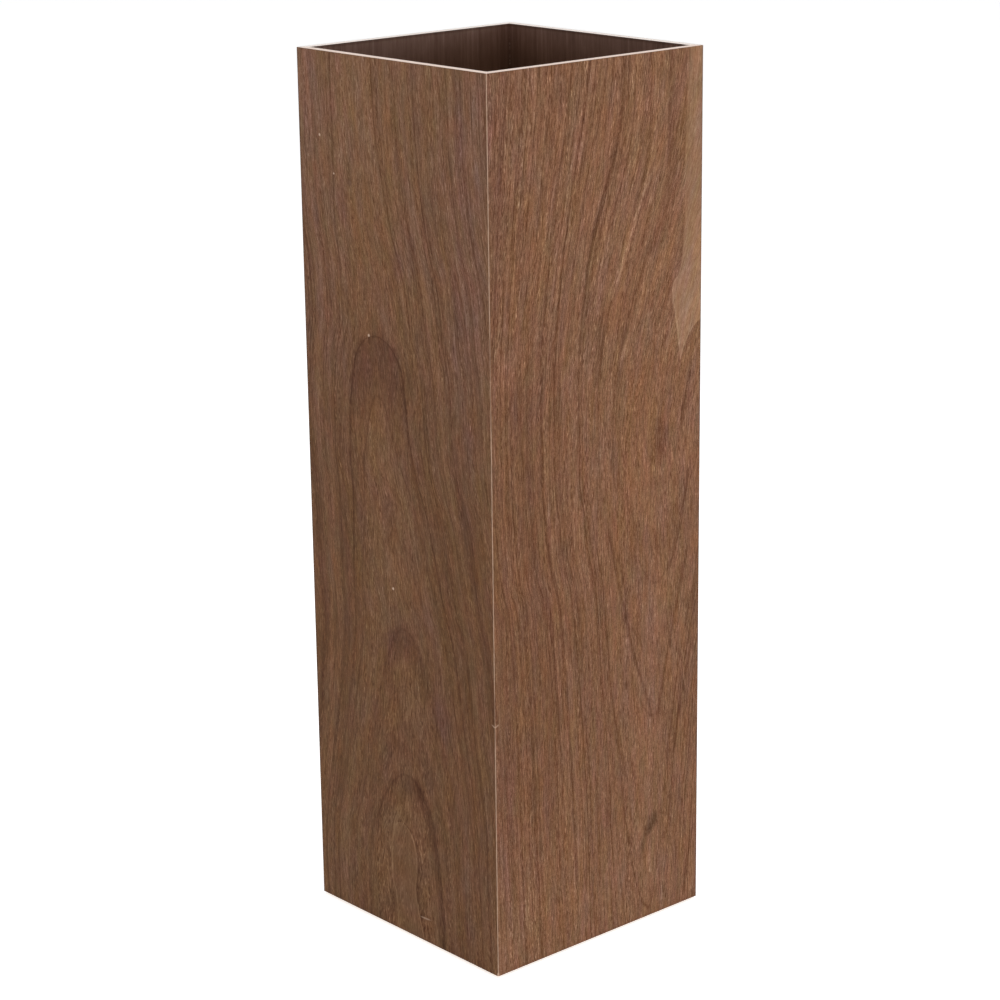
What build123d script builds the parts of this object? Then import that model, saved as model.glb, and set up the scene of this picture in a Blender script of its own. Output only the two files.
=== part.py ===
from build123d import *
import os

# Square umbrella stand: a tall open box of walnut-veneered board with a lift-out drip tray.
#
# Four mitred side panels, each a board core with a veneer on both faces and a pale edge strip
# between them on the rim, close round a base panel of the same board. Cleats and corner blocks
# under the base carry it, screws hold it down on them, and four rubber feet lift the column off
# the floor.
#
# Millimetres, +Z up. The origin is on the floor, under the middle of the column. Front is -Y.

# Column
side = 188.0  # outer width, veneer to veneer
wall_height = 600.0  # side panels with their rim strips
foot_proud = 2.0  # how far the feet stand out below the side panels
core_thick = 6.0
veneer_thick = 0.4
rim_thick = 0.5  # pale strip on the cores' top edges, flush with the veneers
arris = 0.6  # leg of the chamfer sanded down each outer corner

# Base
support_thick = 12.0  # cleats and corner blocks
cleat_width = 14.0
cleat_gap = 2.2  # from a cleat's end to the corner block beside it
block_leg = 46.0  # of the triangular corner block, along each wall
block_tip = 5.0  # what is cut off its two sharp tips
base_clearance = 0.1  # between the base panel's edge and each wall

# Rubber feet
foot_height = 6.0
foot_top_radius = 10.0
foot_bottom_radius = 8.5
foot_inset = 13.5  # foot centre from each inner wall
foot_edge = 0.8  # rounding of the foot's lower edge
well_radius = 4.2  # counterbore for the washer and the screw head
well_depth = 3.6
foot_bore_radius = 1.9

# Washers and screws
washer_radius = 4.0
washer_bore_radius = 1.9
washer_thick = 0.8
wood_screw_radius = 1.5
wood_screw_length = 16.0
wood_head_radius = 3.0
foot_screw_radius = 1.75
foot_screw_length = 12.0  # below its head
foot_head_radius = 3.3
foot_head_height = 2.1
foot_head_crown = 0.95  # radius of the rounding round the pan head
screw_tip = 2.5  # length of the cone at the screw's end
recess_width = 0.9  # one slot of the cross recess
recess_depth = 1.1
cleat_screw_spread = 25.0  # each side of the cleat's middle
block_screw_along = 30.0  # from the corner, along one wall
block_screw_in = 10.0  # from that wall

# Drip tray
tray_top = 168.0  # outer width under the lip
tray_height = 32.0
tray_wall = 1.6
tray_draft = 4.0  # degrees
tray_corner = 12.0
tray_bottom_edge = 3.0
lip_width = 2.0
lip_thick = 1.6
rib_count = 7
rib_spacing = 19.0
rib_length = 132.0
rib_width = 2.6
rib_height = 3.0

# Worked out from the above
half = side / 2
core_outer = half - veneer_thick
core_inner = core_outer - core_thick
inner = core_inner - veneer_thick  # half the clear opening
rim_top = foot_proud + wall_height
core_top = rim_top - rim_thick
support_low = foot_height
base_low = support_low + support_thick
base_core_low = base_low + veneer_thick
base_core_high = base_core_low + core_thick
base_high = base_core_high + veneer_thick
base_half = inner - base_clearance
foot_centre = inner - foot_inset
sides = ("front", "right", "back", "left")  # each a quarter turn from the one before
corners = ("front_left", "front_right", "back_right", "back_left")
on_level = (Align.CENTER, Align.CENTER, Align.MIN)  # stands a solid on its own z 0


def prism(points, low, high):
    """A closed outline in plan, extruded from one level to another."""
    return Pos(0, 0, low) * extrude(Polygon(*points, align=None), high - low)


def square_slab(half_width, low, high):
    return Pos(0, 0, low) * Box(2 * half_width, 2 * half_width, high - low, align=on_level)


def mitred_strip(outer_half, inner_half, low, high):
    """One side of a square ring, on the front, with its two ends cut at 45 degrees."""
    outline = [
        (-outer_half, -outer_half),
        (outer_half, -outer_half),
        (inner_half, -inner_half),
        (-inner_half, -inner_half),
    ]
    return prism(outline, low, high)


def column_envelope():
    """The column's outer shape, with the arris sanded down each corner."""
    block = square_slab(half, 0, rim_top)
    return chamfer(block.edges().filter_by(Axis.Z), arris)


def corner_block():
    """The triangular block in the front left corner."""
    outline = [
        (-inner, -inner),
        (-inner + block_leg - block_tip, -inner),
        (-inner + block_leg - block_tip, -inner + block_tip),
        (-inner + block_tip, -inner + block_leg - block_tip),
        (-inner, -inner + block_leg - block_tip),
    ]
    return prism(outline, support_low, base_low)


def cleat():
    """The square batten under the base along the front wall, between two corner blocks."""
    half_length = inner - block_leg - cleat_gap
    outline = [
        (-half_length, -inner),
        (half_length, -inner),
        (half_length, -inner + cleat_width),
        (-half_length, -inner + cleat_width),
    ]
    return prism(outline, support_low, base_low)


def foot():
    """A tapered rubber foot with a counterbore for its washer and screw head, standing at z 0."""
    body = Cone(foot_bottom_radius, foot_top_radius, foot_height, align=on_level)
    body = fillet(body.edges().sort_by(Axis.Z)[0], foot_edge)
    body -= Cylinder(well_radius, well_depth, align=on_level)
    return body - Cylinder(foot_bore_radius, foot_height, align=on_level)


def washer():
    disc = Cylinder(washer_radius, washer_thick, align=on_level)
    return disc - Cylinder(washer_bore_radius, washer_thick, align=on_level)


def cross_recess(size):
    """The cutter for a cross recess in a screw head whose face is at z 0."""
    slot = Box(size, recess_width, recess_depth, align=on_level)
    return slot + Rot(0, 0, 90) * slot


def countersunk_screw():
    """A wood screw pointing up, with its flat head's face at z 0."""
    head_height = wood_head_radius - wood_screw_radius
    profile = Polyline(
        (0, 0),
        (wood_head_radius, 0),
        (wood_screw_radius, head_height),
        (wood_screw_radius, wood_screw_length - screw_tip),
        (0, wood_screw_length),
        close=True,
    )
    return revolve(Plane.XZ * make_face(profile), Axis.Z)


def pan_head_screw():
    """The foot's screw pointing up, with the underside of its head at z 0."""
    flat_end = (foot_head_radius - foot_head_crown, -foot_head_height)
    side_start = (foot_head_radius, foot_head_crown - foot_head_height)
    profile = [
        Line((0, -foot_head_height), flat_end),
        RadiusArc(flat_end, side_start, -foot_head_crown),
        Polyline(
            side_start,
            (foot_head_radius, 0),
            (foot_screw_radius, 0),
            (foot_screw_radius, foot_screw_length - screw_tip),
            (0, foot_screw_length),
            (0, -foot_head_height),
        ),
    ]
    screw = revolve(Plane.XZ * make_face(profile), Axis.Z)
    return screw - Pos(0, 0, -foot_head_height) * cross_recess(foot_head_radius)


def tray_shell(top_width, low, high, corner, bottom_edge):
    """A tapered square tub, wider at the top, with round corners and a rounded bottom edge."""
    outline = Pos(0, 0, high) * RectangleRounded(top_width, top_width, corner)
    tub = extrude(outline, low - high, taper=tray_draft)
    return fillet(tub.faces().sort_by(Axis.Z)[0].edges(), bottom_edge)


def drip_tray():
    """The lift-out tray on the base panel, with ribs that keep umbrella tips out of the water."""
    low, high = base_high, base_high + tray_height
    floor = low + tray_wall
    tray = tray_shell(tray_top, low, high, tray_corner, tray_bottom_edge)
    lip_outline = RectangleRounded(
        tray_top + 2 * lip_width, tray_top + 2 * lip_width, tray_corner + lip_width
    )
    tray += Pos(0, 0, high - lip_thick) * extrude(lip_outline, lip_thick)
    tray -= tray_shell(
        tray_top - 2 * tray_wall,
        floor,
        high,
        tray_corner - tray_wall,
        tray_bottom_edge - tray_wall,
    )
    rib_plan = SlotOverall(rib_length, rib_width)
    for row in range(rib_count):
        across = (row - (rib_count - 1) / 2) * rib_spacing
        tray += Pos(0, across, floor) * extrude(rib_plan, rib_height)
    return tray


def save(node, shape):
    export_step(shape, f"parts/{node}.step")


os.makedirs("parts", exist_ok=True)

# Where the fasteners and feet stand: the same on each side, a quarter turn apart
turns = [Rot(0, 0, 90 * turn) for turn in range(len(sides))]
screw_places = {
    "cleat_screws": [
        turn * Pos(along, -inner + cleat_width / 2, support_low)
        for turn in turns
        for along in (-cleat_screw_spread, cleat_screw_spread)
    ],
    "corner_block_screws": [
        turn * Pos(-inner + block_screw_along, -inner + block_screw_in, support_low)
        for turn in turns
    ],
}
foot_places = [turn * Pos(-foot_centre, -foot_centre, 0) for turn in turns]
head_seat = Pos(0, 0, well_depth - washer_thick)  # the washer's lower face, above the foot's

# Fasteners, each kind in one node
screw_blank = countersunk_screw()
wood_screw = screw_blank - cross_recess(wood_head_radius)
for name, places in screw_places.items():
    save(name, Compound(children=[place * wood_screw for place in places]))
foot_screws = [place * head_seat * pan_head_screw() for place in foot_places]
save("foot_screws", Compound(children=foot_screws))
save("foot_washers", Compound(children=[place * head_seat * washer() for place in foot_places]))

# What the screws leave in the wood
wood_screw_bores = Part() + [
    place * screw_blank for places in screw_places.values() for place in places
]
foot_screw_bores = Part() + foot_screws

# Side panels: core, two veneers and the rim strip on each
envelope = column_envelope()
panel_core = mitred_strip(core_outer, core_inner, foot_proud, core_top)
outer_veneer = mitred_strip(half, core_outer, foot_proud, rim_top) & envelope
inner_veneer = mitred_strip(core_inner, inner, foot_proud, rim_top)
rim_strip = mitred_strip(core_outer, core_inner, core_top, rim_top)
for name, turn in zip(sides, turns):
    save(f"{name}_panel_core", turn * panel_core)
    save(f"{name}_outer_veneer", turn * outer_veneer)
    save(f"{name}_inner_veneer", turn * inner_veneer)
    save(f"{name}_rim_strip", turn * rim_strip)

# Base panel, cut from the same veneered board
base_core = square_slab(base_half, base_core_low, base_core_high)
base_bottom_veneer = square_slab(base_half, base_low, base_core_low)
save("base_panel_core", base_core - wood_screw_bores)
save("base_bottom_veneer", base_bottom_veneer - wood_screw_bores)
save("base_top_veneer", square_slab(base_half, base_core_high, base_high))

# What carries the base, and what it all stands on
for name, turn in zip(sides, turns):
    save(f"{name}_base_cleat", turn * cleat() - wood_screw_bores)
for name, turn, place in zip(corners, turns, foot_places):
    save(f"{name}_corner_block", turn * corner_block() - wood_screw_bores - foot_screw_bores)
    save(f"{name}_foot", place * foot())

save("drip_tray", drip_tray())
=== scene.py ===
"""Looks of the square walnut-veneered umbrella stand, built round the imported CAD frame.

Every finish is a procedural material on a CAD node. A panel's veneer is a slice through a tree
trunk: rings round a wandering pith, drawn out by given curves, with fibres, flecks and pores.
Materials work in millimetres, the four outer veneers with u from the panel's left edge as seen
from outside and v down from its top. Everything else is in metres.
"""

import math
import random

import bpy
from mathutils import Matrix, Vector


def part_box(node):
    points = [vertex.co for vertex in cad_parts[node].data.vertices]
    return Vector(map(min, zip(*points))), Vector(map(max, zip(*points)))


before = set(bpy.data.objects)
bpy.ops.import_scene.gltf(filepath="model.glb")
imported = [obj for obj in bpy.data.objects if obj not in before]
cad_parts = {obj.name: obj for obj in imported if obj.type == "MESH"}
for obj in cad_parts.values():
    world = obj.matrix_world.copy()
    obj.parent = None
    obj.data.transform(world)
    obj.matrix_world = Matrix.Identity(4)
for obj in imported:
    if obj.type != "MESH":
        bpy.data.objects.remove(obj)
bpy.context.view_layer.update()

SIDES = ("front", "right", "back", "left")
CORNERS = ("front_left", "front_right", "back_right", "back_left")
MM = 1000.0  # millimetres in a metre

column_low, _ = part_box("front_outer_veneer")
_, rim_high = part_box("front_rim_strip")
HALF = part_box("right_outer_veneer")[1].x  # half the column's width
RIM_TOP = rim_high.z
SIDE_MM = 2 * HALF * MM


# ---------------------------------------------------------------- shader building


class Signal:
    """A value inside a material. Arithmetic on it adds the nodes that work it out."""

    def __init__(self, paint, socket):
        self.paint = paint
        self.socket = socket

    def __add__(self, other):
        return self.paint.math("ADD", self, other)

    def __sub__(self, other):
        return self.paint.math("SUBTRACT", self, other)

    def __rsub__(self, other):
        return self.paint.math("SUBTRACT", other, self)

    def __mul__(self, other):
        return self.paint.math("MULTIPLY", self, other)

    def __truediv__(self, other):
        return self.paint.math("DIVIDE", self, other)

    def __abs__(self):
        return self.paint.math("ABSOLUTE", self)

    __radd__ = __add__
    __rmul__ = __mul__

    def at_least(self, low):
        return self.paint.math("MAXIMUM", self, low)

    def at_most(self, high):
        return self.paint.math("MINIMUM", self, high)

    def root(self):
        return self.paint.math("SQRT", self.at_least(0))


class Paint:
    """The node tree of one material, with short methods for the nodes that the finishes share."""

    def __init__(self, name):
        self.material = bpy.data.materials.new(name)
        self.material.use_nodes = True
        self.tree = self.material.node_tree
        self.tree.nodes.clear()
        output = self.tree.nodes.new("ShaderNodeOutputMaterial")
        self.shader = self.tree.nodes.new("ShaderNodeBsdfPrincipled")
        self.tree.links.new(self.shader.outputs["BSDF"], output.inputs["Surface"])

    def put(self, socket, value):
        if isinstance(value, Signal):
            self.tree.links.new(value.socket, socket)
        else:
            socket.default_value = value

    def math(self, operation, *values):
        node = self.tree.nodes.new("ShaderNodeMath")
        node.operation = operation
        for socket, value in zip(node.inputs, values):
            self.put(socket, value)
        return Signal(self, node.outputs[0])

    def place(self):
        """The point's x, y and z in the object's own frame, in millimetres."""
        coordinates = self.tree.nodes.new("ShaderNodeTexCoord")
        parts = self.tree.nodes.new("ShaderNodeSeparateXYZ")
        self.tree.links.new(coordinates.outputs["Object"], parts.inputs[0])
        return [Signal(self, output) * MM for output in parts.outputs]

    def vector(self, x, y, z):
        node = self.tree.nodes.new("ShaderNodeCombineXYZ")
        for socket, value in zip(node.inputs, (x, y, z)):
            self.put(socket, value)
        return Signal(self, node.outputs[0])

    def noise(self, x, y, z=0.0, detail=2.0, roughness=0.5):
        """Smooth noise about 0, mostly within 0.3 each way, one bump to a unit."""
        node = self.tree.nodes.new("ShaderNodeTexNoise")
        node.inputs["Scale"].default_value = 1.0
        node.inputs["Detail"].default_value = detail
        node.inputs["Roughness"].default_value = roughness
        self.put(node.inputs["Vector"], self.vector(x, y, z + 0.43))
        return Signal(self, node.outputs["Fac"]) - 0.5

    def fade(self, signal, start, end):
        """0 at start and before it, 1 at end and past it, smooth between them."""
        node = self.tree.nodes.new("ShaderNodeMapRange")
        node.interpolation_type = "SMOOTHSTEP"
        self.put(node.inputs["Value"], signal)
        self.put(node.inputs["From Min"], start)
        self.put(node.inputs["From Max"], end)
        return Signal(self, node.outputs["Result"])

    def curve(self, signal, points):
        """A smooth curve through given (input, output) points, level past its ends."""
        first, last = points[0][0], points[-1][0]
        low = min(value for _, value in points)
        high = max(value for _, value in points)
        node = self.tree.nodes.new("ShaderNodeFloatCurve")
        line = node.mapping.curves[0]
        scaled = [((x - first) / (last - first), (y - low) / (high - low)) for x, y in points]
        line.points[0].location = scaled[0]
        line.points[1].location = scaled[-1]
        for spot in scaled[1:-1]:
            line.points.new(*spot)
        for point in line.points:
            point.handle_type = "AUTO_CLAMPED"
        node.mapping.update()
        self.put(node.inputs["Value"], (signal - first) / (last - first))
        return Signal(self, node.outputs["Value"]) * (high - low) + low

    def blend(self, share, first, second):
        """first where share is 0, second where it is 1."""
        return first + share * (second - first)

    def stroke(self, u, v, path, width, shift=0.0):
        """1 along a line through listed (v, u) points, from its first v to its last."""
        first, last = path[0][0], path[-1][0]
        off = abs(u - self.curve(v, path) - shift)
        taper = min(12.0, (last - first) / 3)
        ends = self.fade(v, first, first + taper) * self.fade(v, last, last - taper)
        return self.fade(off, width, width * 0.15) * ends

    def blob(self, u, v, spot, radii, lean=0.0, soft=0.6):
        """1 inside an ellipse on the panel and 0 outside it, lean degrees off upright."""
        across, down = u - spot[0], v - spot[1]
        cos, sin = math.cos(math.radians(lean)), math.sin(math.radians(lean))
        x = (across * cos + down * sin) / radii[0]
        y = (down * cos - across * sin) / radii[1]
        return self.fade((x * x + y * y).root(), 1 + soft, 1 - soft)

    def colour(self, red, green, blue):
        node = self.tree.nodes.new("ShaderNodeCombineColor")
        for socket, value in zip(node.inputs, (red, green, blue)):
            self.put(socket, value)
        return Signal(self, node.outputs[0])

    def toned(self, base, tone, red=0.0, blue=0.0):
        """base made lighter by tone, in natural log units, the way walnut deepens: blue changes
        most and red least. red and blue shift those channels alone."""
        channels = []
        for value, depth, shift in zip(base, (0.79, 1.0, 1.17), (red, 0.0, blue)):
            channels.append(self.math("EXPONENT", tone * depth + shift) * value)
        return self.colour(*channels)

    def bump(self, height, distance_mm, strength=1.0):
        node = self.tree.nodes.new("ShaderNodeBump")
        node.inputs["Strength"].default_value = strength
        node.inputs["Distance"].default_value = distance_mm / MM
        self.put(node.inputs["Height"], height)
        self.put(self.shader.inputs["Normal"], Signal(self, node.outputs["Normal"]))

    def finish(self, **inputs):
        """Sets the shader's inputs, named in lower case with underscores for spaces."""
        sockets = {socket.name.lower().replace(" ", "_"): socket for socket in self.shader.inputs}
        for name, value in inputs.items():
            self.put(sockets[name], (*value, 1.0) if isinstance(value, tuple) else value)
        return self.material


def dress(node, material):
    """Puts a material on every face of a CAD node."""
    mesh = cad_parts[node].data
    mesh.materials.clear()
    mesh.materials.append(material)


# ---------------------------------------------------------------- the two veneer figures


def arched_rings(p, u, v):
    """Arches that open downwards, one inside another: rings cut far from the pith at the top
    and ever nearer to it further down.

    Like the other figure below it returns the ring field, whose level lines are the rings; the
    distance across the grain from the pith, by the square of which the field grows; and a place
    across the fibres, which lean with the rings but less.
    """
    pith = p.curve(
        v,
        [
            (0, 56), (50, 58), (100, 63), (150, 73), (190, 76), (240, 76.5), (300, 86),
            (350, 92), (400, 98), (450, 98), (500, 97), (550, 93), (600, 94),
        ],
    )
    rise = p.curve(
        v,
        [
            (0, -900), (50, -850), (100, -560), (150, -250), (178, -90), (186, 160),
            (200, 520), (222, 760), (250, 950), (283, 1300), (350, 2150),
            (378, 2550), (424, 3250), (484, 4750), (521, 5650),
            (560, 6200), (600, 6300),
        ],
    )
    reach = u - pith
    square = reach * reach
    fibre = reach - reach * (rise + 900) / ((square + 4900) * 2)
    return square - rise, reach, fibre


def eyed_rings(p, u, v):
    """Close straight rings that swing round an eye at the right, where the cut passes the
    pith. Above the eye they drift to the right, those nearer to it later."""
    eye_level = 257.0
    least, slant = 16, 0.35  # the drift at the left edge, and what each mm to the right adds
    bend = 130  # half the height that the drift takes
    drift = u * slant + least
    middle = (u - 85).at_least(0) * 1.5 + 90  # of the bend, later and later to the right
    swing = p.fade(v, middle - bend, middle + bend)
    full_swing = p.fade(eye_level, middle - bend, middle + bend)
    shift = drift * (swing / full_swing).at_most(1)
    above = (u + shift - least) / (1 + slant)
    straight = p.blend(p.math("GREATER_THAN", v, eye_level), above, u)
    late_drift = p.curve(v, [(0, 0), (300, 0), (350, 6), (400, 9.5), (457, 11), (600, 16)])
    straight = straight - late_drift * p.fade(straight, 112, 70)
    fibre = u + drift * p.fade(v, 0, 265) - late_drift * p.fade(u, 112, 70)
    pith = p.curve(v, [(0, 148), (257, 148), (350, 147), (457, 145), (547, 141), (600, 140)])
    rise = p.curve(
        v,
        [
            (0, 1850), (257, 1850), (300, 1100), (357, 0), (400, -500), (457, -1300),
            (547, -2200), (600, -2600),
        ],
    )
    squeeze = p.curve(
        v, [(0, 0), (257, 0.1), (300, 0.25), (360, 0.4), (400, 0.7), (490, 1.1), (600, 1.1)]
    )
    reach = straight - pith
    reach = reach + reach.at_least(0) * squeeze
    return reach * reach - rise, reach, fibre


PLAIN, FAINT = 0.28, 0.16  # the two depths of the rings that can be made out

# For each figure: the ring radius where the field is 0, and the few rings that can be made out,
# as (radius, width in mm, depth, shade that trails inwards). What lies between them is left to
# growth and lesser_rings.
ARCHED = {
    "rings": arched_rings,
    "core": 80.0,
    "lines": [
        (41, 1.8, FAINT, 0.03), (57, 1.2, FAINT, 0.0), (62, 1.2, FAINT, 0.0),
        (80, 1.4, FAINT, 0.0), (88, 1.2, PLAIN, 0.0), (105, 1.4, PLAIN, 0.0),
    ],
}
EYED = {
    "rings": eyed_rings,
    "core": 51.0,
    "lines": [
        (51, 1.3, FAINT, 0.05), (62, 1.2, FAINT, 0.0), (78, 1.2, PLAIN, 0.0),
        (98, 1.2, PLAIN, 0.0), (109, 1.3, PLAIN, 0.0), (137, 1.3, PLAIN, 0.0),
        (149, 1.3, PLAIN, 0.0),
    ],
}


def growth(p, radius, v, seed):
    """Good and lean years: light and dark bands across the rings, at two widths."""
    broad = p.noise(radius / 6.5, v / 500, seed + 63, 1.0) * 0.46
    return broad + p.noise(radius / 2.7, v / 260, seed + 66, 1.0) * 0.34


def lesser_rings(seed):
    """The fainter rings of the years between the others, as they chance to fall."""
    innermost, outermost = 66, 162
    chance = random.Random(seed)
    ring = innermost
    while ring < outermost:
        ring += chance.uniform(3.0, 6.0)
        yield ring, chance.uniform(0.8, 1.1), chance.uniform(0.07, 0.24), 0.0


def drawn_rings(p, figure, field, reach, vividness, seed):
    """Sharp dark rings, each as wide on the panel where it turns as where it runs straight."""
    strength = 1.4
    slope = (reach * reach * 4 + 300).root()  # of the field for each mm, eased near the pith
    tone = 0.0
    for ring, width, depth, trail in [*figure["lines"], *lesser_rings(seed)]:
        off = (field - (ring * ring - figure["core"] * figure["core"])) / slope
        dark = p.fade(abs(off), width * 1.15, width * 0.1) * depth
        if trail:
            dark = dark + p.fade(off, -11, -1) * p.fade(off, 0.8, -0.4) * trail
        tone = tone - dark * vividness * strength
    return tone


def veneer(name, side, figure, base, seed, flip=False, drop=0.0, busy=1.0, marks=None):
    """Satin-lacquered walnut veneer for the outside of one side of the column.

    flip mirrors the figure, drop moves it up by so many mm, busy makes its finer grain stand out,
    and marks adds what only one panel has, painted light and shade among it.
    """
    p = Paint(name)
    x, y, z = p.place()
    half = HALF * MM
    u = {"front": x + half, "right": y + half, "back": half - x, "left": half - y}[side]
    v = RIM_TOP * MM - z
    if flip:
        u = SIDE_MM - u

    # The rings, a little unsteady as real ones are
    wander = p.noise(u / 40, v / 110, seed) * 4 + p.noise(u / 9, v / 45, seed + 3.1) * 1.0
    field, reach, fibre = figure["rings"](p, u + wander, v + drop)
    radius = (field + figure["core"] * figure["core"]).root()
    vividness = p.noise(radius / 5, v / 140, seed + 7.7) * 1.2 + 1.0
    tone = growth(p, radius, v, seed)
    tone = tone + drawn_rings(p, figure, field, reach, vividness, seed)

    # Thin dark lines between the drawn rings, in patches
    gaps = abs(p.noise(radius / 2.3, v / 260, seed + 11.0, 0.5))
    patches = p.fade(p.noise(radius / 14, v / 90, seed + 14.0), -0.2, 0.2)
    sides = p.fade(abs(reach), 8, 30)
    tone = tone - p.fade(gaps, 0.09, 0.0) * patches * sides * 0.22 * busy

    # Fibres and flecks, each column of them started at its own height, then specks
    start = p.noise(fibre / 1.1, v / 400, seed + 18.0, 0.0) * 60 + v
    for width, length, depth, shift in (
        (0.60, 2.4, 2.60, 21.0),
        (1.2, 8.0, 0.30, 24.0),
        (2.4, 40.0, 0.10, 30.0),
        (5.5, 90.0, 0.05, 33.0),
    ):
        tone = tone + p.noise(fibre / width, start / length, seed + shift, 0.6) * (depth * busy)
    tone = tone + p.noise(u / 0.9, v / 1.0, seed + 36, 1.0) * (0.66 * busy)

    # Open pores, short dark dashes
    dashes = p.noise(fibre / 0.5, start / 7.0, seed + 41, 1.0, 0.4)
    pores = p.fade(dashes + p.noise(radius / 3, v / 60, seed + 44) * 0.2, 0.15, 0.25)
    tone = tone - pores * 0.55

    # Cloudiness in lightness, and patches a little redder, bluer or greener
    tone = tone + p.noise(u / 18, v / 120, seed + 47, 2.0) * 0.09
    red = p.noise(fibre / 7, v / 20, seed + 51, 1.2) * 0.30
    blue = p.noise(fibre / 8, v / 30, seed + 55, 1.2) * 0.55
    worn = 0.0
    if marks:
        tone, red, blue, worn = marks(p, u, v, radius, reach, tone, red, blue)

    colour = p.toned(base, tone, red, blue)
    colour = with_arris(p, colour, x, y, v, seed, worn)
    p.bump(tone * 0.5 - pores, 0.06, 0.5)
    gloss = p.noise(u / 30, v / 60, seed + 59) * 0.12 + pores * 0.15
    return p.finish(base_color=colour, roughness=gloss + 0.5, specular_ior_level=0.04)


WORN_WOOD = (0.42, 0.29, 0.21)
DARK_CORNER_LINE = (0.045, 0.028, 0.024)
NEAR = -100  # mm that x + y is below at the front left corner, and at no other
GAPS = ((190, 45, 8, 0.45), (415, 28, 6, 0.4))  # in its wear: v, outer and inner reach, depth


def mixed(p, share, first, second):
    """The first colour where share is 0, the second where it is 1."""
    node = p.tree.nodes.new("ShaderNodeMix")
    node.data_type = "RGBA"
    p.put(node.inputs["Factor"], share)
    for key, value in (("A", first), ("B", second)):
        socket = next(s for s in node.inputs if s.name == key and s.type == "RGBA")
        p.put(socket, value if isinstance(value, Signal) else (*value, 1.0))
    return Signal(p, next(s for s in node.outputs if s.type == "RGBA"))


def with_arris(p, colour, x, y, v, seed, extra):
    """Bare pale wood along the sanded arris at each outer corner, rubbed unevenly, and wherever
    extra asks for it."""
    off = abs(abs(x) - abs(y))  # 0 along the middle of the arris, 0.6 at its two edges
    ragged = p.noise(v / 7, seed, 0.0, 3.0) * 0.4
    edge = p.fade(off + ragged, 0.55, 0.22)
    rubbed = p.fade(p.noise(v / 45, seed + 5, 0.0, 2.0) + 0.14, -0.15, 0.2) * 0.75 + 0.25
    # The front left corner is rubbed nearly all the way, but for two gaps
    near = p.math("LESS_THAN", x + y, NEAR)
    worn_through = 0.72
    for level, outer, inner, depth in GAPS:
        worn_through = worn_through - p.fade(abs(v - level), outer, inner) * depth
    rubbed = p.blend(near, rubbed, worn_through)
    rubbed = rubbed * (1 + p.noise(v / 4, seed + 9, 0.0, 2.0) * 1.2)
    colour = mixed(p, (edge * rubbed + extra).at_most(1), colour, WORN_WOOD)
    # The front right and back left corners get a dark line painted along them instead
    stained = p.fade(off, 1.6, 0.5) * p.math("LESS_THAN", x * y, 0)
    return mixed(p, stained * 0.7, colour, DARK_CORNER_LINE)


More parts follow.
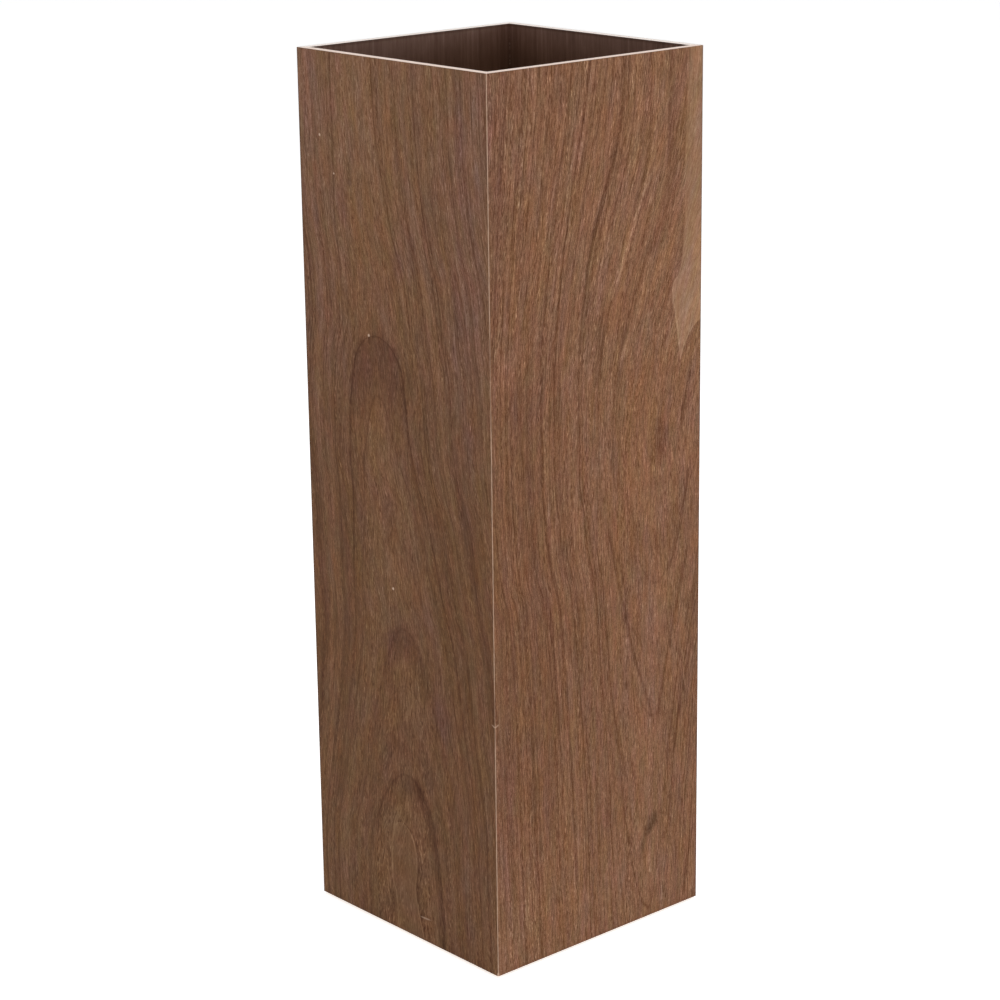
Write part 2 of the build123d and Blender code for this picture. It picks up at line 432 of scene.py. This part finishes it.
def left_marks_and_painted_shade(p, u, v, radius, reach, tone, red, blue):
    """What is particular to the left panel."""
    # Painted light and shade: it darkens from the rim down for most of its height, as the light
    # falls off, and again at its foot, and turns less blue, but for a strip at its upper left
    tone = tone + p.curve(
        v,
        [
            (0, 0.22), (70, 0.17), (200, 0.04), (330, -0.09), (470, -0.13), (580, -0.03),
            (600, -0.15),
        ],
    )
    blue = blue + p.curve(v, [(0, 0.03), (150, 0.02), (330, -0.06), (600, -0.07)])
    blue = blue + p.fade(u, 34, 12) * p.fade(v, 420, 250) * 0.05

    # A pale tongue with a light outline at the bottom, where the cut just grazes a ring
    left_edge = p.curve(
        v, [(519, 90), (523, 83), (530, 80), (545, 78), (560, 78), (575, 82), (600, 84)]
    )
    right_edge = p.curve(
        v,
        [
            (519, 91), (522, 97), (526, 101), (535, 105), (550, 106), (565, 104), (580, 107),
            (600, 113),
        ],
    )
    inward = p.math("MINIMUM", u - left_edge, right_edge - u)
    below = p.fade(v, 518, 521)
    tongue = p.fade(inward, -0.5, 0.6) * below
    outline = tongue * p.fade(inward, 2.4, 0.8)
    shade = p.fade(v, 512, 522) * p.fade(inward, -4.5, -0.6) * (1 - tongue) * p.fade(u, 80, 95)
    tone = p.blend(tongue * 0.45, tone, 0.0) + tongue * 0.05 + outline * 0.34 - shade * 0.34

    # Shadows under the two upper arches, a dark right leg on the lowest, and a purple band
    cap = p.fade(radius, 74.3, 76.6) * p.fade(radius, 82.0, 79.0) * p.fade(v, 246, 202)
    low_cap = p.fade(radius, 58.8, 61.5) * p.fade(radius, 63.4, 62.0) * p.fade(v, 425, 395)
    leg = p.fade(radius, 43.2, 41.0) * p.fade(radius, 34.5, 39.0) * p.fade(reach, -16, 6)
    leg = leg * p.fade(v, 475, 492)
    band = p.fade(abs(radius - 67), 5.5, 2.0) * p.fade(reach, 4, 24) * p.fade(v, 235, 300)
    tone = tone - cap * 0.34 - low_cap * 0.26 - leg * 0.36 - band * 0.12
    blue = blue + cap * 0.12 + low_cap * 0.10 + leg * 0.06 + band * 0.10

    # Broader dark lines beside the arches
    for path, depth in (
        ([(200, 97), (225, 103.5), (250, 107), (275, 113), (305, 122)], 0.26),
        ([(198, 53), (222, 48), (260, 47), (310, 49)], 0.16),
        ([(484, 90), (497, 78), (512, 69), (535, 62)], 0.22),
    ):
        tone = tone - p.stroke(u, v, path, 2.2) * depth

    # A tan streak down the left, and streakier wood at the top right
    path = [(-20, 6), (0, 8), (60, 14), (167, 24), (250, 26), (333, 23), (433, 17), (540, 11)]
    tan = p.stroke(u, v, path, 3.2)
    tone = tone + tan * 0.15
    red = red + tan * 0.03
    corner = p.fade(u, 132, 158) * p.fade(v, 360, 230)
    tone = tone + p.noise(radius / 2.1, v / 130, 71.0, 1.0) * corner * 0.6

    # Small blue-grey shadows, bluer wood at the upper right, warmer wood beside it, a pale spot
    for spot, radii, lean, depth in (
        ((70, 287), (4, 9), 5, 0.14),
        ((87, 297), (7, 15), 0, 0.16),
        ((82, 388), (5, 12), 55, 0.14),
        ((43, 98), (5, 14), 0, 0.10),
        ((52, 83), (2.4, 2.0), 0, 0.22),
        ((98, 131), (5, 9), -20, 0.12),
        ((135, 432), (8, 14), -15, 0.12),
    ):
        shadow = p.blob(u, v, spot, radii, lean)
        tone = tone - shadow * depth
        blue = blue + shadow * 0.12
    blue = blue + p.blob(u, v, (165, 130), (15, 150), 3) * 0.14
    warm = p.blob(u, v, (74, 130), (26, 150), 0, 0.5)
    red, blue = red + warm * 0.02, blue - warm * 0.07
    tone = tone + p.blob(u, v, (104, 432), (9, 12), -25) * 0.06

    red = red - tongue * 0.02

    # Bare wood in a scratch at the foot, in nicks on the near corner and in four specks
    worn = p.blob(u, v, (113.5, 583), (5.0, 0.6), lean=-3, soft=0.5) * 0.40
    worn = worn + p.blob(u, v, (186.8, 422.5), (1.8, 0.5), lean=25) * 0.5
    worn = worn + p.blob(u, v, (188, 599), (1.0, 1.4)) * 0.8
    for spot, size in (((22, 55), 0.8), ((36, 79), 0.6), ((68, 182), 0.9), ((87, 352), 0.9)):
        worn = worn + p.blob(u, v, spot, (size, size), soft=0.5)
    return tone, red, blue, worn


def front_marks_and_painted_shade(p, u, v, radius, reach, tone, red, blue):
    """What is particular to the front panel."""
    # A pale patch beside the eye, with a bright edge below
    left_edge = p.curve(
        v,
        [
            (0, 176), (60, 172), (110, 171.5), (130, 170), (148, 166), (158, 160), (175, 163),
            (207, 168),
        ],
    )
    lower_edge = p.curve(u, [(160, 215), (168, 207), (172, 197), (178, 188), (188, 180)])
    inward = p.math("MINIMUM", u - left_edge, lower_edge - v)
    patch = p.fade(inward, -0.6, 0.8)
    outline = patch * p.fade(inward, 2.6, 0.8) * p.fade(v, 140, 165)
    tone = p.blend(patch * 0.45, tone, 0.04) + patch * (p.fade(v, 80, 150) * 0.10 + 0.33)
    tone = tone + outline * 0.22
    red = red - patch * 0.05

    # Pale streaks above the eye, each with a dark lower edge
    high = [(76, 141), (93, 131), (118, 120), (142, 110), (165, 98), (190, 91), (215, 90)]
    low = [(124, 147), (140, 137), (160, 131), (180, 122), (205, 110)]
    tone = tone + p.stroke(u, v, high[:5], 4.2) * 0.42 - p.stroke(u, v, high, 2.4, 4.4) * 0.26
    tone = tone + p.stroke(u, v, low, 4.0) * 0.34

    # A short dark scar near the bottom
    scar = p.stroke(u, v, [(520, 149), (532, 143), (544, 135), (558, 129)], 6.0)
    scar = scar * 0.6 + p.blob(u, v, (143, 531), (4.5, 8.5), 50) * 0.8
    tone = tone - scar * 0.5
    red = red - scar * 0.10

    # Rings on the right that the figure leaves out, most of them below the eye
    for path in (
        [(278, 178), (300, 174), (325, 168), (345, 160), (358, 148)],
        [(335, 177), (365, 169), (400, 160), (430, 153), (462, 147)],
        [(300, 100), (340, 109), (375, 118), (410, 128), (440, 139), (462, 146)],
        [(400, 183), (430, 175), (460, 168), (492, 163)],
        [(536, 186), (570, 178), (600, 174)],
        [(205, 180), (222, 176), (240, 171), (264, 168)],
    ):
        tone = tone - p.stroke(u, v, path, 2.2) * 0.40

    # Shadows, warmer patches, and one that is paler and bluer
    for spot, radii, lean, depth in (
        ((150, 257), (7, 13), 0, 0.24),
        ((124, 336), (4, 12), -20, 0.16),
        ((138, 352), (10, 5), 20, 0.16),
        ((118, 373), (3, 9), -15, 0.14),
        ((82, 158), (9, 12), 0, 0.10),
        ((26, 212), (16, 14), 0, 0.10),
    ):
        shadow = p.blob(u, v, spot, radii, lean)
        tone = tone - shadow * depth
        blue = blue + shadow * 0.06
    for spot, radii, lean in (
        ((132, 255), (18, 55), 10),
        ((101, 40), (7, 18), 0),
        ((112, 165), (14, 12), 0),
        ((112, 320), (6, 20), -12),
        ((126, 371), (4, 9), 0),
    ):
        warm = p.blob(u, v, spot, radii, lean)
        red, blue = red + warm * 0.05, blue - warm * 0.07
    pale = p.blob(u, v, (143, 400), (12, 46)) * 0.06
    tone, blue = tone + pale, blue + pale

    # It is darkest in its lower half and, at mid height, to the left, and dark at its foot:
    # painted shade, as the light falls on it. Purple strips run up the near corner
    tone = tone + p.curve(
        v,
        [
            (0, 0.05), (150, 0.02), (300, -0.04), (430, -0.08), (520, 0.0), (590, 0.08),
            (600, -0.06),
        ],
    )
    tone = tone - p.fade(u, 90, 10) * p.fade(v, 130, 230) * p.fade(v, 520, 440) * 0.12
    strip = p.blob(u, v, (7, 490), (6, 62))
    tone = tone - strip * 0.14
    blue = blue + strip * 0.12
    upper_strip = p.fade(u, 22, 4) * p.fade(v, 210, 90)
    tone = tone - upper_strip * 0.16
    blue = blue + upper_strip * 0.14

    # Bare wood in two nicks on the near corner
    worn = p.blob(u, v, (1.4, 422.5), (2.0, 0.5), lean=-25) * 0.5
    worn = worn + p.blob(u, v, (0, 599), (1.0, 1.4)) * 0.8
    return tone, red, blue, worn


# The left veneer's base colour is darker than the other three's: painted shade, the same walnut
# made darker for the side that gets less light
outer_finishes = {
    "left": veneer("walnut_left", "left", ARCHED, (0.127, 0.061, 0.0315), 2.0, marks=left_marks_and_painted_shade),
    "front": veneer(
        "walnut_front", "front", EYED, (0.156, 0.0735, 0.0385), 62.0, busy=1.3, marks=front_marks_and_painted_shade
    ),
    "back": veneer(
        "walnut_back", "back", ARCHED, (0.153, 0.0710, 0.0380), 122.0, flip=True, drop=-36.0
    ),
    "right": veneer(
        "walnut_right", "right", EYED, (0.151, 0.0700, 0.0375), 182.0, flip=True, drop=28.0,
        busy=1.2,
    ),
}
for side, finish in outer_finishes.items():
    dress(f"{side}_outer_veneer", finish)


# ---------------------------------------------------------------- the other finishes


def inner_veneer(name, seed, level=False):
    """Straight-grained walnut for the inside of the column, upright, and for the base."""
    p = Paint(name)
    x, y, z = p.place()
    u, along = (x, y) if level else (x + y * 1.03, z)
    tone = p.noise(u / 9, along / 420, seed, 2.0) * 0.8
    tone = tone + p.noise(u / 2.2, along / 130, seed + 4, 2.0) * 1.2
    tone = tone + p.noise(u / 0.8, along / 9, seed + 8, 1.5) * 0.7
    pores = p.fade(p.noise(u / 0.45, along / 5, seed + 12, 1.0), 0.17, 0.27)
    tone = tone - pores * 0.25 - p.fade(z, RIM_TOP * MM - 2.4, RIM_TOP * MM - 1.0) * 0.5
    corner = abs(x).at_most(abs(y))  # near the wall's own half-width at the four glued corners
    glue = p.fade(corner, 86.2, 87.0) * p.fade(p.noise(z / 3.5, seed + 16, 0.0, 3.0), 0.02, 0.16)
    # Painted light: the inside is made lighter and bluer over its top 34 mm, standing in for the
    # light and pale sheen it catches near the rim, so that it is darker further down
    painted_rim_light = p.fade(z, RIM_TOP * MM - 34, RIM_TOP * MM - 1)  # by the light, near the rim
    tone = tone + painted_rim_light * 0.48 - 0.24
    wood = p.toned((0.125, 0.060, 0.034), tone, 0.0, painted_rim_light * 0.15)
    colour = mixed(p, glue * 0.55, wood, WORN_WOOD)
    p.bump(tone * 0.5 - pores, 0.06, 0.5)
    return p.finish(base_color=colour, roughness=pores * 0.15 + 0.5, specular_ior_level=0.3)


def rim_wood(name, base):
    """The pale strip on the rim, its grain along the panel and its two edges a little stained."""
    strip_middle = 90.6  # mm from the column's axis
    p = Paint(name)
    x, y, z = p.place()
    across = abs(x).at_least(abs(y))
    tone = p.noise(across / 0.7, (x + y) / 25, 3.0) * 0.12
    tone = tone + p.noise(x / 14, y / 14, 9.0, 3.0) * 0.10
    tone = tone - p.fade(abs(across - strip_middle), 2.45, 2.95) * 0.7
    colour = p.toned(base, tone)
    p.bump(tone, 0.05, 0.4)
    return p.finish(base_color=colour, roughness=tone * 0.3 + 0.5, specular_ior_level=0.3)


def board():
    """The pressed-fibre core of the boards."""
    p = Paint("board_core")
    x, y, z = p.place()
    chips = p.noise(x / 0.9, y / 0.9, z / 0.5, 3.0, 0.6)
    p.bump(chips, 0.1, 0.5)
    colour = p.toned((0.34, 0.23, 0.14), chips * 0.9)
    return p.finish(base_color=colour, roughness=chips * 0.2 + 0.75)


def softwood(name, lengthwise):
    """Planed pine for the cleats and corner blocks, with its grain along one axis."""
    p = Paint(name)
    x, y, z = p.place()
    along, across = (x, y) if lengthwise == "x" else (y, x)
    rings = p.noise(across / 3.2, z / 3.2 + along / 160, 5.0, 1.0)
    fibres = p.noise(across / 0.5, z / 0.5, along / 12, 2.0)
    tone = rings * 0.9 + fibres * 0.4
    p.bump(fibres + rings, 0.08, 0.5)
    colour = p.toned((0.58, 0.40, 0.21), tone)
    return p.finish(base_color=colour, roughness=fibres * 0.2 + 0.62)


def rubber():
    """Dusty black rubber for the feet."""
    p = Paint("moulded_rubber")
    x, y, z = p.place()
    grain = p.noise(x / 0.35, y / 0.35, z / 0.35, 3.0)
    dust = p.fade(p.noise(x / 6, y / 6, z / 6, 4.0), 0.02, 0.25)
    p.bump(grain, 0.06, 0.6)
    return p.finish(
        base_color=p.toned((0.028, 0.027, 0.026), grain * 0.5 + dust * 0.5),
        roughness=dust * 0.2 + 0.62,
        specular_ior_level=0.4,
    )


def zinc():
    """Zinc-plated steel, spangled and a little stained, for screws and washers."""
    p = Paint("zinc_plated_steel")
    x, y, z = p.place()
    spangle = p.noise(x / 0.8, y / 0.8, z / 0.8, 3.0)
    stain = p.fade(p.noise(x / 2.5, y / 2.5, z / 2.5, 4.0), 0.05, 0.3)
    p.bump(spangle, 0.02, 0.4)
    return p.finish(
        base_color=p.toned((0.62, 0.60, 0.56), spangle * 0.3 - stain * 0.35),
        metallic=1.0,
        roughness=stain * 0.25 + spangle * 0.15 + 0.3,
    )


def tray_plastic():
    """Textured black plastic, water-marked, and scuffed on the tray's floor."""
    p = Paint("tray_plastic")
    x, y, z = p.place()
    leather = p.noise(x / 0.5, y / 0.5, z / 0.5, 2.0)
    marks = p.fade(p.noise(x / 18, y / 18, z / 18, 5.0, 0.6), 0.0, 0.22)
    scuffs = p.fade(p.noise(x / 0.4, y / 9, 3.0, 2.0), 0.2, 0.3) * p.fade(z, 30, 27)
    p.bump(leather + scuffs, 0.05, 0.5)
    return p.finish(
        base_color=p.toned((0.030, 0.029, 0.028), leather * 0.25 + marks * 0.35 + scuffs * 0.5),
        roughness=marks * 0.18 + leather * 0.1 + 0.42,
        specular_ior_level=0.45,
    )


inner_finish = inner_veneer("walnut_inside", 7.0)
strip_finish = rim_wood("pale_edge_strip", (0.84, 0.675, 0.585))
# The back and right strips get a paler copy of the same wood, a painted highlight for the glare
# that the far rims catch
painted_highlight_strip_finish = rim_wood("palest_edge_strip", (0.91, 0.82, 0.76))
core_finish = board()
for side in SIDES:
    dress(f"{side}_inner_veneer", inner_finish)
    dress(f"{side}_rim_strip", strip_finish if side in ("front", "left") else painted_highlight_strip_finish)
    dress(f"{side}_panel_core", core_finish)
dress("base_panel_core", core_finish)
base_finish = inner_veneer("walnut_base", 27.0, level=True)
dress("base_top_veneer", base_finish)
dress("base_bottom_veneer", base_finish)

pine_along_x = softwood("pine_along_x", "x")
pine_along_y = softwood("pine_along_y", "y")
for side in SIDES:
    dress(f"{side}_base_cleat", pine_along_x if side in ("front", "back") else pine_along_y)
foot_finish = rubber()
for corner in CORNERS:
    dress(f"{corner}_corner_block", pine_along_x)
    dress(f"{corner}_foot", foot_finish)
zinc_finish = zinc()
for node in ("cleat_screws", "corner_block_screws", "foot_screws", "foot_washers"):
    dress(node, zinc_finish)
dress("drip_tray", tray_plastic())


# ---------------------------------------------------------------- floor, light and camera


def studio_floor():
    """A plain white floor that glows a little, so that it stays as pale as its surroundings."""
    bpy.ops.mesh.primitive_plane_add(size=80.0, location=(0, 0, 0))
    floor = bpy.context.object
    floor.name = "studio_floor"
    p = Paint("studio_floor")
    finish = p.finish(
        base_color=(0.9, 0.9, 0.9),
        roughness=0.9,
        specular_ior_level=0.0,
        emission_color=(1.0, 1.0, 1.0),
        emission_strength=0.62,
    )
    floor.data.materials.append(finish)


def soft_box(name, spot, aim, size, power, tint=(1.0, 1.0, 1.0)):
    """A rectangular lamp that faces a point."""
    light = bpy.data.lights.new(name, "AREA")
    light.shape = "RECTANGLE"
    light.size, light.size_y = size
    light.energy = power
    light.color = tint
    lamp = bpy.data.objects.new(name, light)
    lamp.location = spot
    lamp.rotation_euler = (Vector(spot) - Vector(aim)).to_track_quat("Z", "Y").to_euler()
    bpy.context.collection.objects.link(lamp)


def surroundings():
    """White studio walls that darken towards the ceiling."""
    world = bpy.data.worlds.new("studio")
    bpy.context.scene.world = world
    world.use_nodes = True
    tree = world.node_tree
    background = tree.nodes["Background"]
    background.inputs["Color"].default_value = (1.0, 1.0, 1.0, 1.0)
    coordinates = tree.nodes.new("ShaderNodeTexCoord")
    direction = tree.nodes.new("ShaderNodeSeparateXYZ")
    fall_off = tree.nodes.new("ShaderNodeMapRange")
    fall_off.interpolation_type = "SMOOTHSTEP"
    for name, value in (("From Min", 0.03), ("From Max", 0.55), ("To Min", 1.0), ("To Max", 0.35)):
        fall_off.inputs[name].default_value = value
    tree.links.new(coordinates.outputs["Generated"], direction.inputs[0])
    tree.links.new(direction.outputs["Z"], fall_off.inputs["Value"])
    tree.links.new(fall_off.outputs["Result"], background.inputs["Strength"])


def take_camera():
    """The camera stands off the front left corner, above the rim, and leans very slightly. It
    looks just left of and below the middle of the walls, from far off through a long lens."""
    azimuth, elevation, roll = (math.radians(angle) for angle in (-41.46, 16.44, -0.72))
    distance = 1.887
    middle = Vector((0, 0, (column_low.z + RIM_TOP) / 2))
    aside, below = 0.0030, 0.0078
    back = Vector(
        (
            math.sin(azimuth) * math.cos(elevation),
            -math.cos(azimuth) * math.cos(elevation),
            math.sin(elevation),
        )
    )
    level_right = Vector((math.cos(azimuth), math.sin(azimuth), 0))
    level_up = back.cross(level_right)
    right = math.cos(roll) * level_right + math.sin(roll) * level_up
    up = math.cos(roll) * level_up - math.sin(roll) * level_right
    data = bpy.data.cameras.new("camera")
    data.sensor_width = 36.0
    data.lens = 99.67
    data.clip_start, data.clip_end = 0.1, 30.0
    camera = bpy.data.objects.new("camera", data)
    spot = middle + back * distance - right * aside - up * below
    turn = Matrix((right, up, back)).transposed().to_4x4()
    camera.matrix_world = Matrix.Translation(spot) @ turn
    bpy.context.collection.objects.link(camera)
    bpy.context.scene.camera = camera


studio_floor()
surroundings()
soft_box("top_light", (0.1, -0.2, 2.6), (0, 0, 0.3), (2.4, 2.4), 32.0)
soft_box("front_light", (1.2, -2.2, 0.46), (0, 0, 0.35), (1.6, 0.9), 22.0, (1.0, 0.985, 0.96))
soft_box("left_light", (-2.4, -0.6, 0.46), (0, 0, 0.35), (1.6, 0.9), 11.0)
take_camera()
bpy.context.scene.view_settings.view_transform = "Standard"
